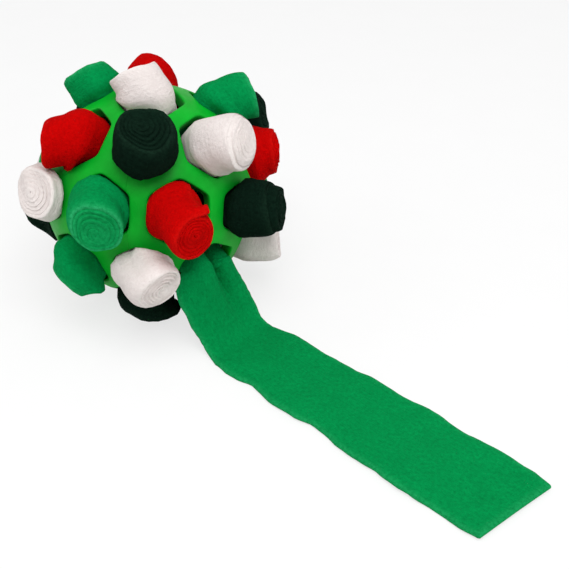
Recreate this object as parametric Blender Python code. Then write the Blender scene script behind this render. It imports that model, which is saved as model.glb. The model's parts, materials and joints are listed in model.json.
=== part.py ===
"""Snuffle ball: a rubber lattice ball, a rolled fleece strip in each hole, one strip pulled out flat.

The ball is a truncated icosahedron blown up to a sphere: 12 five-sided and 20 six-sided holes.
Lengths are metres. +Z is up, -Y is the front, and the origin is on the floor under the ball.
"""
import math
from typing import NamedTuple

import bmesh
import bpy
from mathutils import Matrix, Vector

# Rubber ball
BALL_RADIUS = 0.055
BALL_WALL = 0.006
RIB_WIDTH = 0.0087
RIB_LIP = 0.0014
HOLE_CORNER_RADIUS = 0.0045
HOLE_CORNER_STEPS = 2
FOOT_ROLL_HEIGHT = 0.005
BALL_HEIGHT = BALL_RADIUS + FOOT_ROLL_HEIGHT
BALL_TURN = math.radians(-1)
BALL_TILT = math.radians(5)
BALL_TILT_TOWARD = math.radians(-42)

# Fleece strips, all cut alike
STRIP_WIDTH = 0.045
STRIP_LENGTH = 0.300
FLEECE_THICKNESS = 0.0023
CLEARANCE = 0.0003

# Rolled strips
ROLL_STAND_OUT = 0.018
ROLL_EDGE_ROUND = 0.0025
ROLL_END_GROOVE = 0.0013
ROLL_START_ABOVE_RIB = 0.003
ROLL_INNER_ROUND = 0.003
ROLL_INNER_END_SHARE = 0.7
ROLL_CORE_SHARE = 0.18
ROLL_TURNS = 4
GROOVE_MIDDLE_SHARE = 0.5
FLOOR_CUT = 0.0005

# Strip that is pulled out and laid on the floor
STRIP_DIRECTION = math.radians(-44)
STRIP_SIDE_SHIFT = -0.0055
LANDING_DISTANCE = 0.074
FLAP_LENGTH = 0.162
FLAP_FOLD_DISTANCE = 0.081
NECK_INNER_DISTANCE = 0.034
NECK_LIFT = 0.0045
NECK_LEAD_OUT = 0.003
NECK_LEAD_IN = 0.018
NECK_GATHERED_WIDTH = 0.020
NECK_PLEAT_DEPTH = 0.0028
NECK_PLEATS = 1.5
NECK_COLUMNS = 14
NECK_ROWS = 16
NECK_INSIDE_ROWS = 4
FLAP_EDGE_STEPS = 8

# Angles below this across an edge are shaded smooth
SMOOTH_ANGLE = math.radians(40)

# Each ring of holes reaches down to this angle from the top, in degrees
RING_LIMITS = {"crown": 20, "upper": 55, "shoulder": 90, "belly": 125, "lower": 160, "foot": 181}
POLE_SHARE = 0.98


class Roll(NamedTuple):
    """One rolled strip: its colour, its stand-out and girth as shares, and its lean in degrees.

    The lean's direction is counted clockwise from the top, or from the back on crown and foot,
    as seen from outside the ball. A roll with a square end stands on it and shows no wound edge.
    """

    colour: str
    stand_share: float = 1.0
    lean: float = 0
    toward: float = 0
    girth_share: float = 1.0
    on_floor: bool = False
    square_end: bool = False


# Rings of holes from the top down, each listed anticlockwise from the front as seen from above
ROLL_SHARES = {
    "crown": [Roll("white", 0.75, 48, 292)],
    "upper": [
        Roll("dark_green", 0.95, 28, 45, 1.06),
        Roll("white", 0.95, 50, 125, 1.04),
        Roll("green", 0.85, 55, 120),
        Roll("red", 0.7, 35, 115),
        Roll("green", 0.85, 10, 270),
        Roll("red", 0.95, 60, 212, 0.97),
    ],
    "shoulder": [
        Roll("red", 1.15, 35, 180, 1.04),
        Roll("dark_green", 1.15, 15, 80),
        Roll("red", 0.8, 10, 190),
        Roll("dark_green", 1.65, 50, 268),
        Roll("white", 0.9, 10, 200),
        Roll("dark_green", 0.95, 15, 120),
        Roll("green", 0.2),
        Roll("white", 0.7, 20, 45),
        Roll("green", 1.25, 62, 134, 0.97),
    ],
    "belly": [
        Roll("white", 1.15, 58, 85, 1.05),
        Roll("green"),
        Roll("white", 0.95, 20, 10),
        Roll("green", 0.8, 15, 60),
        Roll("red", 0.9, 10, 180),
        Roll("green", 1.0, 15, 200),
        Roll("white", 0.95, 10, 90),
        Roll("dark_green", 0.85, 62, 355, 0.96),
        Roll("green", 0.8, 45, 105),
    ],
    "lower": [
        Roll("dark_green", on_floor=True),
        Roll("red", on_floor=True),
        Roll("dark_green", on_floor=True),
        Roll("white", on_floor=True),
        Roll("red", on_floor=True),
        Roll("white", 0.4),
    ],
    "foot": [Roll("green", on_floor=True, square_end=True)],
}
STRIP_HOLE = ("belly", 2)

# Half widths of the hand-cut flap at even steps, as shares of half the strip's width
FLAP_RIGHT_SHARES = (0.92, 0.92, 0.99, 1.06, 1.04, 0.99, 0.97, 0.96, 0.96)
FLAP_LEFT_SHARES = (0.95, 0.9, 1.0, 0.97, 0.95, 0.96, 0.98, 0.99, 1.0)
FLAP_END_SKEW_SHARE = 0.13

# Colours are linear red, green, blue; then roughness
COLOURS = {
    "rubber_green": ((0.005, 0.35, 0.02), 0.38),
    "fleece_green": ((0.005, 0.24, 0.06), 0.95),
    "fleece_dark_green": ((0.006, 0.022, 0.012), 0.95),
    "fleece_red": ((0.50, 0.003, 0.003), 0.95),
    "fleece_white": ((0.80, 0.74, 0.72), 0.95),
}

UP = Vector((0, 0, 1))
BACK = Vector((0, 1, 0))


class Hole(NamedTuple):
    """One hole of the ball: its axis from the ball's centre, its sides and its corners' directions."""

    axis: Vector
    sides: int
    corners: list


def clear_scene() -> None:
    """Remove every object, so the model stands alone."""
    for item in list(bpy.data.objects):
        bpy.data.objects.remove(item, do_unlink=True)


def material(name: str) -> bpy.types.Material:
    """Return the named finish, making it once."""
    found = bpy.data.materials.get(name)
    if found:
        return found
    colour, roughness = COLOURS[name]
    made = bpy.data.materials.new(name)
    made.use_nodes = True
    shader = made.node_tree.nodes["Principled BSDF"]
    shader.inputs["Base Color"].default_value = (*colour, 1)
    shader.inputs["Roughness"].default_value = roughness
    shader.inputs["Metallic"].default_value = 0
    return made


def add_object(name: str, bm: bmesh.types.BMesh, finish: str, place: Matrix) -> bpy.types.Object:
    """Turn a bmesh into a placed, named, smooth-shaded object."""
    bmesh.ops.recalc_face_normals(bm, faces=bm.faces)
    mesh = bpy.data.meshes.new(name)
    bm.to_mesh(mesh)
    bm.free()
    mesh.materials.append(material(finish))
    mesh.shade_smooth()
    mesh.set_sharp_from_angle(angle=SMOOTH_ANGLE)
    made = bpy.data.objects.new(name, mesh)
    made.matrix_world = place
    bpy.context.scene.collection.objects.link(made)
    return made


def ball_turn() -> Matrix:
    """Return the rotation from the ball's own frame to how it lies on the floor."""
    tilt_axis = Vector((-math.sin(BALL_TILT_TOWARD), math.cos(BALL_TILT_TOWARD), 0))
    return Matrix.Rotation(BALL_TILT, 3, tilt_axis) @ Matrix.Rotation(BALL_TURN, 3, "Z")


def truncated_icosahedron() -> list:
    """Return the 32 faces of a truncated icosahedron as unit corner directions, one face upward."""
    bm = bmesh.new()
    bmesh.ops.create_icosphere(bm, subdivisions=1, radius=1)
    bm.faces.ensure_lookup_table()
    top = bm.faces[0]
    corner = top.verts[0].co.copy()
    upright = top.normal.rotation_difference(UP).to_matrix()
    corner = upright @ corner
    to_front = Matrix.Rotation(-math.pi / 2 - math.atan2(corner.y, corner.x), 3, "Z")
    bmesh.ops.transform(bm, matrix=(to_front @ upright).to_4x4(), verts=bm.verts)
    bmesh.ops.bevel(bm, geom=bm.verts[:], offset=100 / 3, offset_type="PERCENT", affect="VERTICES")
    faces = [[vert.co.normalized() for vert in face.verts] for face in bm.faces]
    bm.free()
    return faces


def ring_of(polar: float) -> str:
    """Name the ring of holes at an angle in degrees down from the top."""
    return next(name for name, limit in RING_LIMITS.items() if polar < limit)


def find_holes() -> dict:
    """Return the holes by ring, each ring anticlockwise from the front as seen from above."""
    rings = {name: [] for name in ROLL_SHARES}
    turn = ball_turn()
    for corners in truncated_icosahedron():
        centre = sum(corners, Vector()).normalized()
        polar = math.degrees(centre.angle(UP))
        bearing = round(math.degrees(math.atan2(centre.y, centre.x)) + 90, 3) % 360
        hole = Hole(turn @ centre, len(corners), [turn @ corner for corner in corners])
        rings[ring_of(polar)].append((bearing, hole))
    return {name: [hole for _, hole in sorted(found, key=lambda pair: pair[0])]
            for name, found in rings.items()}


def hole_frame(hole: Hole) -> Matrix:
    """Return a rotation whose Z is the hole's axis and whose X points at its first corner."""
    across = (hole.corners[0] - hole.axis * hole.axis.dot(hole.corners[0])).normalized()
    return Matrix((across, hole.axis.cross(across), hole.axis)).transposed()


def opening_slope(hole: Hole, inset: float = 0) -> float:
    """Return the half width across flats, at unit distance along the axis, inset into the hole."""
    middle = (hole.corners[0] + hole.corners[1]).normalized()
    half_angle = hole.axis.angle(middle) - math.asin((RIB_WIDTH / 2 + inset) / BALL_RADIUS)
    return math.tan(half_angle)


def hole_outline(hole: Hole, inset: float) -> list:
    """Return the rounded outline of a hole as directions from the ball's centre."""
    frame = hole_frame(hole)
    slope = opening_slope(hole, inset)
    corner = max(HOLE_CORNER_RADIUS - inset, HOLE_CORNER_RADIUS / 2) / BALL_RADIUS
    reach = (slope - corner) / math.cos(math.pi / hole.sides)
    outline = []
    for side in range(hole.sides):
        angle = math.tau * side / hole.sides
        for step in range(HOLE_CORNER_STEPS + 1):
            swing = angle + (2 * step / HOLE_CORNER_STEPS - 1) * math.pi / hole.sides
            x = reach * math.cos(angle) + corner * math.cos(swing)
            y = reach * math.sin(angle) + corner * math.sin(swing)
            outline.append((frame @ Vector((x, y, 1))).normalized())
    return outline


def band(bm: bmesh.types.BMesh, first: list, second: list) -> None:
    """Join two closed rings of vertices with quads."""
    count = len(first)
    for i in range(count):
        after = (i + 1) % count
        bm.faces.new((first[i], first[after], second[after], second[i]))


def net_around(bm: bmesh.types.BMesh, corners: list, ring: list, inward: bool) -> None:
    """Fill between a hole's rounded ring and the rib centre lines that pass its corners."""
    arc = HOLE_CORNER_STEPS + 1
    sides = len(corners)
    for side in range(sides):
        after = (side + 1) % sides
        here = ring[side * arc:(side + 1) * arc]
        shapes = [(corners[side], corners[after], ring[after * arc], here[-1])]
        shapes += [(corners[side], here[i + 1], here[i]) for i in range(arc - 1)]
        for shape in shapes:
            bm.faces.new(tuple(reversed(shape)) if inward else shape)


def make_ball(rings: dict) -> None:
    """Make the rubber lattice: ribs on a sphere around 32 rounded holes."""
    bm = bmesh.new()
    inner_radius = BALL_RADIUS - BALL_WALL
    levels = [(RIB_LIP, BALL_RADIUS), (0, BALL_RADIUS - RIB_LIP),
              (0, inner_radius + RIB_LIP), (RIB_LIP, inner_radius)]
    knots = {}

    def knot(direction: Vector, radius: float) -> bmesh.types.BMVert:
        """Return the shared vertex on a rib's centre line, making it once."""
        key = (radius, *(round(value, 4) for value in direction))
        if key not in knots:
            knots[key] = bm.verts.new(direction * radius)
        return knots[key]

    for hole in (hole for ring in rings.values() for hole in ring):
        loops = [[bm.verts.new(point * radius) for point in hole_outline(hole, -inset)]
                 for inset, radius in levels]
        net_around(bm, [knot(corner, BALL_RADIUS) for corner in hole.corners], loops[0], False)
        for upper, lower in zip(loops, loops[1:]):
            band(bm, upper, lower)
        net_around(bm, [knot(corner, inner_radius) for corner in hole.corners], loops[-1], True)
    add_object("ball_lattice", bm, "rubber_green", Matrix.Translation(UP * BALL_HEIGHT))


def wound_radius() -> float:
    """Return the radius of one strip rolled up tightly from end to end."""
    return math.sqrt(STRIP_LENGTH * FLEECE_THICKNESS / math.pi)


def seat_profile(hole: Hole) -> list:
    """Return a roll's outline in its hole, per unit along the axis: corners and flats in turn."""
    slope = opening_slope(hole)
    corner = HOLE_CORNER_RADIUS / BALL_RADIUS
    corner_reach = (slope - corner) / math.cos(math.pi / hole.sides) + corner
    return [corner_reach, slope] * hole.sides


def wound_share(turns: float, radius: float) -> float:
    """Return the radius of a wound edge after some turns inward, as a share of the outer one."""
    first_share = 1 - FLEECE_THICKNESS / radius
    if turns <= 1:
        return 1 - (1 - first_share) * turns
    return first_share - (first_share - ROLL_CORE_SHARE) * (turns - 1) / (ROLL_TURNS - 1)


class RollShape:
    """Builds one rolled strip in its hole's frame, with Z out of the ball and the origin on the ball."""

    def __init__(self, hole: Hole, roll: Roll):
        """Work out the roll's sizes from its hole and its row in the table."""
        self.hole = hole
        self.radius = wound_radius() * roll.girth_share
        self.tip_radius = self.radius - ROLL_EDGE_ROUND
        self.columns = 2 * hole.sides
        self.frame = hole_frame(hole)
        self.stand_out = ROLL_STAND_OUT * roll.stand_share
        self.lean = math.radians(roll.lean)
        self.square_end = roll.square_end
        reference = BACK if abs(hole.axis.z) > POLE_SHARE else UP
        if roll.square_end:
            self.lean = hole.axis.angle(-UP)
            self.stand_out = self.square_to_floor()
            reference = -UP
        elif roll.on_floor:
            self.stand_out = self.rim_to_floor()
        local = self.frame.inverted() @ reference
        self.toward = math.atan2(local.y, local.x) - math.radians(roll.toward)
        self.bm = bmesh.new()

    def square_to_floor(self) -> float:
        """Return the stand-out at which a roll that bends upright presses its whole end on the floor."""
        fall = BALL_HEIGHT + FLOOR_CUT - BALL_RADIUS * math.cos(self.lean)
        return fall * self.lean / math.sin(self.lean)

    def rim_to_floor(self) -> float:
        """Return the stand-out at which a straight roll's rim dips into the floor by the cut's depth."""
        rim = [self.frame @ self.outline_point(self.tip_radius, step) for step in range(self.columns + 1)]
        fall = BALL_HEIGHT + FLOOR_CUT + min(point.z for point in rim)
        return fall / -self.hole.axis.z - BALL_RADIUS

    def outline_point(self, radius: float, step: int) -> Vector:
        """Return a point of the wound outline, whose free edge stands a layer proud of its start."""
        angle = math.tau * step / self.columns
        share = wound_share(step / self.columns, self.radius)
        return Vector((radius * share * math.cos(angle), radius * share * math.sin(angle), 0))

    def station(self, along: float) -> Matrix:
        """Return the place of a cross-section at a length along the roll, measured from the ball."""
        if along <= 0 or self.lean == 0:
            return Matrix.Translation(UP * along)
        bend = self.lean * along / self.stand_out
        arc = self.stand_out / self.lean
        side = Vector((math.cos(self.toward), math.sin(self.toward), 0))
        place = side * arc * (1 - math.cos(bend)) + UP * arc * math.sin(bend)
        tilt_axis = UP.cross(side)
        return Matrix.Translation(place) @ Matrix.Rotation(bend, 4, tilt_axis)

    def ring(self, along: float, radii: list) -> list:
        """Add one turn of the wound outline at a length along the roll."""
        place = self.station(along)
        return [self.bm.verts.new(place @ self.outline_point(radii[step % self.columns], step))
                for step in range(self.columns + 1)]

    def seated_ring(self, along: float, share: float = 1) -> list:
        """Add a ring that fits the hole where the roll passes the ribs or lies inside the ball."""
        distance = BALL_RADIUS + along
        radii = [(value * distance - CLEARANCE) * share for value in seat_profile(self.hole)]
        return self.ring(along, radii)

    def round_ring(self, along: float, radius: float) -> list:
        """Add a ring of the round part outside the ball."""
        return self.ring(along, [radius] * self.columns)

    def close_inner_end(self, ring: list) -> None:
        """Close the end inside the ball with one flat face."""
        self.bm.faces.new(tuple(reversed(ring)))

    def close_flat(self, ring: list) -> None:
        """Close the outer end with one flat face."""
        self.bm.faces.new(tuple(ring))

    def close_wound(self, ring: list) -> None:
        """Close the outer end with the wound edge: a ridge and a groove that spiral to the core."""
        turn = self.columns
        last = ROLL_TURNS * turn
        place = self.station(self.stand_out)
        spiral = [self.outline_point(self.tip_radius, step) for step in range(last + 1)]
        ridge = ring + [self.bm.verts.new(place @ point) for point in spiral[turn + 1:]]
        sunk = place @ Matrix.Translation(UP * -ROLL_END_GROOVE)
        groove = [self.bm.verts.new(sunk @ outer.lerp(inner, GROOVE_MIDDLE_SHARE))
                  for outer, inner in zip(spiral, spiral[turn:])]
        make = self.bm.faces.new
        make((ridge[0], groove[0], ridge[turn]))
        for i in range(last - turn):
            make((ridge[i], ridge[i + 1], groove[i + 1], groove[i]))
            make((groove[i], groove[i + 1], ridge[i + turn + 1], ridge[i + turn]))
        core = self.bm.verts.new(sunk.translation)
        rim = ridge[last - turn:] + [groove[-1]]
        for here, after in zip(rim, rim[1:] + rim[:1]):
            make((here, after, core))

    def build(self, name: str, finish: str) -> bpy.types.Object:
        """Make the roll: a stub that narrows inward, a round part outside and its outer end."""
        inner = self.stand_out - STRIP_WIDTH
        flush = BALL_RADIUS * math.cos(math.atan(opening_slope(self.hole))) - BALL_RADIUS
        start = min(ROLL_START_ABOVE_RIB, self.stand_out / 2)
        rings = [self.seated_ring(inner, ROLL_INNER_END_SHARE),
                 self.seated_ring(inner + ROLL_INNER_ROUND),
                 self.seated_ring(flush),
                 self.round_ring(start, self.radius),
                 self.round_ring(self.stand_out - ROLL_EDGE_ROUND, self.radius),
                 self.round_ring(self.stand_out, self.tip_radius)]
        for lower, upper in zip(rings, rings[1:]):
            band(self.bm, lower, upper)
        self.close_inner_end(rings[0])
        if self.square_end:
            self.close_flat(rings[-1])
        else:
            self.close_wound(rings[-1])
        seat = self.hole.axis * BALL_RADIUS + UP * BALL_HEIGHT
        place = Matrix.Translation(seat) @ self.frame.to_4x4()
        return add_object(name, self.bm, finish, place)


def make_floor_cutter() -> bpy.types.Object:
    """Make the block below the floor that cuts flats where rolls stand on it."""
    bm = bmesh.new()
    bmesh.ops.create_cube(bm, size=1)
    reach = 2 * (BALL_RADIUS + STRIP_WIDTH)
    depth = BALL_RADIUS
    bmesh.ops.scale(bm, vec=(reach, reach, depth), verts=bm.verts)
    cutter = add_object("floor_cutter", bm, "rubber_green", Matrix.Translation(UP * -depth / 2))
    cutter.hide_render = True
    cutter.display_type = "WIRE"
    return cutter


def make_rolls(rings: dict, cutter: bpy.types.Object) -> None:
    """Make a roll for every hole but the one whose strip is pulled out."""
    for ring, rolls in ROLL_SHARES.items():
        for number, (roll, hole) in enumerate(zip(rolls, rings[ring]), start=1):
            if (ring, number) == STRIP_HOLE:
                continue
            name = f"roll_{ring}_{number}" if len(rolls) > 1 else f"roll_{ring}"
            made = RollShape(hole, roll).build(name, f"fleece_{roll.colour}")
            if roll.on_floor:
                cut = made.modifiers.new("floor", "BOOLEAN")
                cut.object = cutter
                cut.operation = "DIFFERENCE"
                cut.solver = "EXACT"


def strip_axes() -> tuple:
    """Return the flap's direction along the floor and the direction across it."""
    along = Vector((math.cos(STRIP_DIRECTION), math.sin(STRIP_DIRECTION), 0))
    return along, UP.cross(along)


def landing_point() -> Vector:
    """Return the middle of the strip's thickness where it comes to lie on the floor."""
    along, across = strip_axes()
    return along * LANDING_DISTANCE + across * STRIP_SIDE_SHIFT + UP * FLEECE_THICKNESS / 2


def smooth_step(value: float) -> float:
    """Ease a value between 0 and 1."""
    value = min(1, max(0, value))
    return value * value * (3 - 2 * value)


def neck_path(hole: Hole) -> tuple:
    """Return the neck's centre line as points, each with its direction across, and its outside part."""
    centre = UP * BALL_HEIGHT
    lift_way = (UP - hole.axis * hole.axis.z).normalized()
    lift = lift_way * NECK_LIFT
    inside = centre + hole.axis * NECK_INNER_DISTANCE + lift * NECK_INNER_DISTANCE / BALL_RADIUS
    exit_point = centre + hole.axis * BALL_RADIUS + lift
    along, across = strip_axes()
    landing = landing_point()
    controls = [exit_point, exit_point + hole.axis * NECK_LEAD_OUT,
                landing - along * NECK_LEAD_IN, landing]
    sideways = lift_way.cross(hole.axis).normalized()
    rows = [(inside.lerp(exit_point, i / NECK_INSIDE_ROWS), sideways, 0)
            for i in range(NECK_INSIDE_ROWS)]
    for i in range(NECK_ROWS + 1):
        t = i / NECK_ROWS
        u = 1 - t
        weights = (u * u * u, 3 * u * u * t, 3 * u * t * t, t * t * t)
        point = sum((weight * control for weight, control in zip(weights, controls)), Vector())
        way = sideways.lerp(across, smooth_step(t)).normalized()
        rows.append((point, way, t))
    return rows


def make_neck(hole: Hole) -> None:
    """Make the pulled-out strip's gathered neck, from inside the ball down to the floor."""
    bm = bmesh.new()
    rows = neck_path(hole)
    grid = []
    for i, (point, way, t) in enumerate(rows):
        before = rows[max(i - 1, 0)][0]
        after = rows[min(i + 1, len(rows) - 1)][0]
        facing = (after - before).cross(way).normalized()
        spread = smooth_step(2 * t)
        half_width = (NECK_GATHERED_WIDTH + (STRIP_WIDTH - NECK_GATHERED_WIDTH) * spread) / 2
        depth = NECK_PLEAT_DEPTH * (1 - smooth_step(t))
        line = []
        for column in range(NECK_COLUMNS + 1):
            u = 2 * column / NECK_COLUMNS - 1
            edge_share = FLAP_RIGHT_SHARES[0] if u > 0 else FLAP_LEFT_SHARES[0]
            share = 1 + (edge_share - 1) * spread
            fold = depth * math.cos(NECK_PLEATS * math.pi * u)
            line.append(bm.verts.new(point + way * u * half_width * share + facing * fold))
        grid.append(line)
    for lower, upper in zip(grid, grid[1:]):
        for i in range(NECK_COLUMNS):
            bm.faces.new((lower[i], lower[i + 1], upper[i + 1], upper[i]))
    made = add_object("strip_neck", bm, "fleece_green", Matrix())
    thick = made.modifiers.new("thickness", "SOLIDIFY")
    thick.thickness = FLEECE_THICKNESS
    thick.offset = 0


def flap_edge(shares: tuple, distance: float) -> float:
    """Return a half width of the flap at a distance from its landing."""
    place = distance / FLAP_LENGTH * (len(shares) - 1)
    index = min(int(place), len(shares) - 2)
    share = shares[index] + (shares[index + 1] - shares[index]) * (place - index)
    return share * STRIP_WIDTH / 2


def make_flap(name: str, start: float, end: float, skew: float) -> None:
    """Make one flat length of the strip on the floor, with its hinge edge at the start."""
    bm = bmesh.new()
    steps = FLAP_EDGE_STEPS
    stations = [start + (end - start) * i / steps for i in range(steps + 1)]
    right = [(x + skew * (x - start) / (end - start), flap_edge(FLAP_RIGHT_SHARES, x)) for x in stations]
    left = [(x - skew * (x - start) / (end - start), -flap_edge(FLAP_LEFT_SHARES, x)) for x in stations]
    outline = left + right[::-1]
    base = [bm.verts.new((x - start, y, -FLEECE_THICKNESS)) for x, y in outline]
    face = bm.faces.new(base)
    risen = bmesh.ops.extrude_face_region(bm, geom=[face])["geom"]
    raised = [item for item in risen if isinstance(item, bmesh.types.BMVert)]
    bmesh.ops.translate(bm, vec=UP * FLEECE_THICKNESS, verts=raised)
    along, across = strip_axes()
    hinge_edge = landing_point() + along * start + UP * FLEECE_THICKNESS / 2
    frame = Matrix((along, across, UP)).transposed().to_4x4()
    add_object(name, bm, "fleece_green", Matrix.Translation(hinge_edge) @ frame)


def make_strip(hole: Hole) -> None:
    """Make the pulled-out strip: its neck, the near flap and the free end."""
    make_neck(hole)
    make_flap("strip_flap", CLEARANCE, FLAP_FOLD_DISTANCE, 0)
    skew = FLAP_END_SKEW_SHARE * STRIP_WIDTH / 2
    make_flap("strip_free_end", FLAP_FOLD_DISTANCE + CLEARANCE, FLAP_LENGTH, skew)


def main() -> None:
    """Build the whole toy."""
    clear_scene()
    rings = find_holes()
    make_ball(rings)
    cutter = make_floor_cutter()
    make_rolls(rings, cutter)
    ring, number = STRIP_HOLE
    make_strip(rings[ring][number - 1])


main()
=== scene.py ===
"""Dress the snuffle ball: smooth rubber ribs, fleece strips wound turn on turn, and one strip pulled out.

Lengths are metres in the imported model's frame: +Z is up, -Y faces the camera, and the floor is at 0.
"""
import json
import logging
import math
from collections.abc import Callable
from dataclasses import dataclass
from enum import Enum

import bmesh
import bpy
import numpy as np
from mathutils import Matrix, Vector


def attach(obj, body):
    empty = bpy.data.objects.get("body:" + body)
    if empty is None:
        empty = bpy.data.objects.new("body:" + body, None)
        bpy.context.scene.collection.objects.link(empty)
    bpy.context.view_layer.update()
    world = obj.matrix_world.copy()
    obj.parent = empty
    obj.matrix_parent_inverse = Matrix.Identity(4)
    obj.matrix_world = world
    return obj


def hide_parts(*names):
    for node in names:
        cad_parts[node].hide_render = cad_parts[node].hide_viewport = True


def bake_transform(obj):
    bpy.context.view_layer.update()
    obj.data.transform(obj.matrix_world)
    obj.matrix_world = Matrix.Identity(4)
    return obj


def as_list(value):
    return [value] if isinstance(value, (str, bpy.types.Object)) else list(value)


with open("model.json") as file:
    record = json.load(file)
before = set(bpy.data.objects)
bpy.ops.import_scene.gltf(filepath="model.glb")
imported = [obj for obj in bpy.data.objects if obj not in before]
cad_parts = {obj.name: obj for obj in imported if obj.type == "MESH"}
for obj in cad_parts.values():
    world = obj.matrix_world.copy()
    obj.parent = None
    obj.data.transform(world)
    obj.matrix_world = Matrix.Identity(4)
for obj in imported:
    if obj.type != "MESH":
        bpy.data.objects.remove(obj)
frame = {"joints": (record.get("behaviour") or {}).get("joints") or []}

MILLI = 0.001
TINY = 1e-12
WAVE_SPREAD = (0.7, 1.4)
WAVE_HEIGHT = 0.6
SEEDS_PER_ROLL = 7
UP = Vector((0, 0, 1))
BACK = Vector((0, 1, 0))
HIDDEN_SIDE = BACK - UP * 0.5
Socket = bpy.types.NodeSocket
log = logging.getLogger("snuffle_ball")


class Turn(Enum):
    """Which way a strip is wound, seen from its outer end."""

    CLOCKWISE = -1
    ANTICLOCKWISE = 1


class FleeceColour(Enum):
    """The record's material slots for the fleece."""

    GREEN = "fleece_green"
    DARK_GREEN = "fleece_dark_green"
    RED = "fleece_red"
    WHITE = "fleece_white"


class Waves(Enum):
    """What a roll's random waves are for, each with its own seed."""

    FOLDS = 1
    CREASES = 2
    END = 3
    PRESSING = 4
    TURNS = 5


def smooth(value: np.ndarray | float) -> np.ndarray | float:
    """Ease a value between 0 and 1, flat at both ends."""
    value = np.clip(value, 0, 1)
    return value * value * (3 - 2 * value)


def unit(vectors: np.ndarray) -> np.ndarray:
    """Return vectors scaled to length 1."""
    return vectors / np.maximum(np.linalg.norm(vectors, axis=-1, keepdims=True), TINY)


def ripple(points: np.ndarray, wavelength: float, seed: int, waves: int = 7) -> np.ndarray:
    """Return soft random waves over points.

    Args:
        points: positions, with their three coordinates last.
        wavelength: the typical distance from crest to crest.
        seed: picks the directions and phases.
        waves: how many plane waves are summed.

    Returns:
        One value for each point, mostly between -1 and 1.
    """
    rng = np.random.default_rng(seed)
    ways = unit(rng.normal(size=(waves, 3)))
    pitch = math.tau / (wavelength * rng.uniform(*WAVE_SPREAD, waves))
    phase = rng.uniform(0, math.tau, waves)
    turns = points @ (ways * pitch[:, None]).T + phase
    return np.sin(turns).sum(axis=-1) * math.sqrt(2 / waves) * WAVE_HEIGHT


def put_in_scene(name: str, data: bpy.types.ID) -> bpy.types.Object:
    """Make an object and put it in the scene.

    Args:
        name: the object's name.
        data: its mesh, lamp or camera.

    Returns:
        The object.
    """
    made = bpy.data.objects.new(name, data)
    bpy.context.scene.collection.objects.link(made)
    return made


def fill(node: bpy.types.Node, **values: object) -> None:
    """Set a node's own sockets, named with _ in place of each space."""
    for name, value in values.items():
        node.inputs[name.replace("_", " ")].default_value = value


class NodeSketch:
    """A small helper that adds shader nodes and links them."""

    def __init__(self, name: str) -> None:
        """Make a material with its node tree.

        Args:
            name: the material's name.
        """
        self.material = bpy.data.materials.new(name)
        self.material.use_nodes = True
        self.tree = self.material.node_tree
        self.shader = self.tree.nodes["Principled BSDF"]

    def add(self, kind: str, **settings: object) -> bpy.types.Node:
        """Add a node.

        Args:
            kind: the node's type.
            settings: its plain properties.

        Returns:
            The node.
        """
        made = self.tree.nodes.new(kind)
        for key, value in settings.items():
            setattr(made, key, value)
        return made

    def link(self, source: Socket, target: Socket) -> None:
        """Join an output to an input."""
        self.tree.links.new(source, target)

    def noise(self, place: Socket, scale: float, detail: float = 3, rough: float = 0.6) -> Socket:
        """Add a noise pattern.

        Args:
            place: the coordinates it is laid on.
            scale: how many features it has in a metre.
            detail: how many finer layers it has.
            rough: how strong they are.

        Returns:
            The pattern's value.
        """
        made = self.add("ShaderNodeTexNoise")
        fill(made, Scale=scale, Detail=detail, Roughness=rough)
        self.link(place, made.inputs["Vector"])
        return made.outputs["Fac"]

    def stretched(self, place: Socket, scale: tuple) -> Socket:
        """Scale coordinates unevenly.

        Args:
            place: the coordinates.
            scale: the scale along each axis.

        Returns:
            The scaled coordinates.
        """
        made = self.add("ShaderNodeMapping")
        fill(made, Scale=scale)
        self.link(place, made.inputs["Vector"])
        return made.outputs["Vector"]

    def remap(self, value: Socket, low: float, high: float, to_low: float, to_high: float) -> Socket:
        """Map one range of values to another and stay inside it.

        Args:
            value: the value.
            low: where the first range starts.
            high: where it ends.
            to_low: where the second range starts.
            to_high: where it ends.

        Returns:
            The mapped value.
        """
        made = self.add("ShaderNodeMapRange")
        fill(made, From_Min=low, From_Max=high, To_Min=to_low, To_Max=to_high)
        self.link(value, made.inputs["Value"])
        return made.outputs["Result"]

    def math(self, kind: str, first: Socket, second: Socket | float) -> Socket:
        """Combine two values.

        Args:
            kind: how they are combined.
            first: the first value.
            second: the second value, a socket or a plain number.

        Returns:
            The result.
        """
        made = self.add("ShaderNodeMath", operation=kind)
        self.link(first, made.inputs[0])
        if isinstance(second, (int, float)):
            made.inputs[1].default_value = second
        else:
            self.link(second, made.inputs[1])
        return made.outputs["Value"]

    def mix(self, share: Socket, first: Socket | tuple, second: Socket | tuple) -> Socket:
        """Mix two colours.

        Args:
            share: how much of the second colour shows.
            first: the first colour, a socket or a plain colour.
            second: the second colour, a socket or a plain colour.

        Returns:
            The mixed colour.
        """
        made = self.add("ShaderNodeMix", data_type="RGBA")
        self.link(share, made.inputs["Factor"])
        for value, socket in ((first, made.inputs[6]), (second, made.inputs[7])):
            if isinstance(value, tuple):
                socket.default_value = (*value, 1)
            else:
                self.link(value, socket)
        return made.outputs[2]

    def bump(self, height: Socket, distance: float, strength: float) -> None:
        """Add a bump over any earlier one and feed it to the shader.

        Args:
            height: the pattern that is raised.
            distance: its height in metres.
            strength: how much of it shows.
        """
        made = self.add("ShaderNodeBump")
        fill(made, Distance=distance, Strength=strength)
        earlier = self.shader.inputs["Normal"]
        if earlier.is_linked:
            self.link(earlier.links[0].from_socket, made.inputs["Normal"])
        self.link(height, made.inputs["Height"])
        self.link(made.outputs["Normal"], earlier)


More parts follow.
